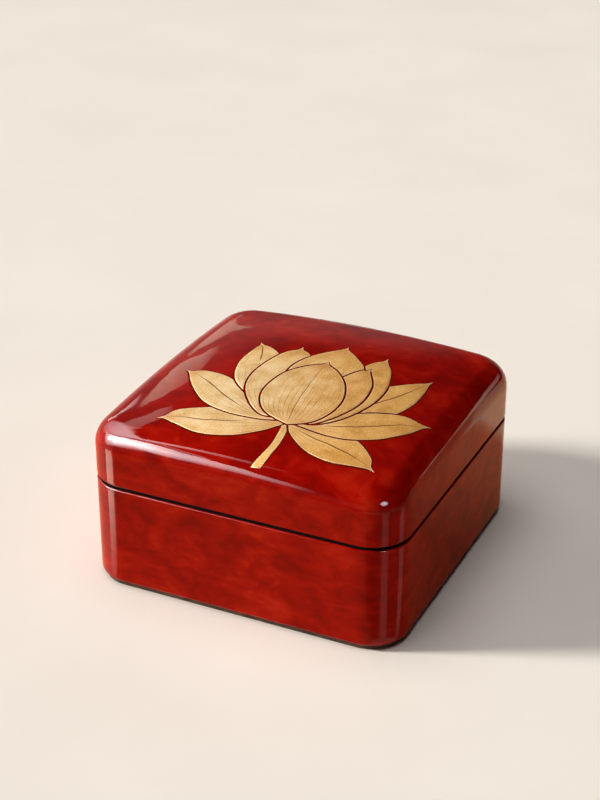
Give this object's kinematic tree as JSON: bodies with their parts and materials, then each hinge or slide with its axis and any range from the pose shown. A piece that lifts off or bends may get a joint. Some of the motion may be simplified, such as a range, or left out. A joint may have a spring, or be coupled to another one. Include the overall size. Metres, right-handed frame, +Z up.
{
  "type": "lacquer box",
  "caption": "Square red lacquer box with rounded corners, a recessed dark foot and a lift-off pillow lid that carries a lotus of cut gold.",
  "frame": {"origin": "centre of the underside, on the surface the box stands on", "axes": "+Z up, -Y towards the front side in the picture, +X to the right seen from the front"},
  "size_m": [0.12, 0.12, 0.0719],
  "materials": {
    "red_lacquer": "wooden core under polished, softly mottled red lacquer with a high gloss",
    "black_lacquer": "wooden core under polished black lacquer",
    "cut_gold": "thin cut gold sheet with fine engraved veins, satin"
  },
  "bodies": {
    "body": {"foot_front": "black_lacquer", "foot_right": "black_lacquer", "foot_back": "black_lacquer", "foot_left": "black_lacquer", "floor_board": "black_lacquer", "body_wall_front": "red_lacquer", "body_wall_right": "red_lacquer", "body_wall_back": "red_lacquer", "body_wall_left": "red_lacquer", "lip_front": "black_lacquer", "lip_right": "black_lacquer", "lip_back": "black_lacquer", "lip_left": "black_lacquer"},
    "lid": {"lid_wall_front": "red_lacquer", "lid_wall_right": "red_lacquer", "lid_wall_back": "red_lacquer", "lid_wall_left": "red_lacquer", "lid_top": "red_lacquer", "petal_centre": "cut_gold", "petal_right_inner": "cut_gold", "petal_centre_back": "cut_gold", "petal_left_inner": "cut_gold", "petal_right_outer": "cut_gold", "petal_left_outer": "cut_gold", "petal_right_low": "cut_gold", "petal_right_high": "cut_gold", "petal_left_high": "cut_gold", "petal_left_low": "cut_gold", "petal_front_right": "cut_gold", "lotus_stem": "cut_gold"}
  },
  "joints": [
    {"name": "lid_lift", "type": "slide", "parent": "body", "child": "lid", "axis": [0, 0, 1], "range_m": [0, 0.08]}
  ]
}
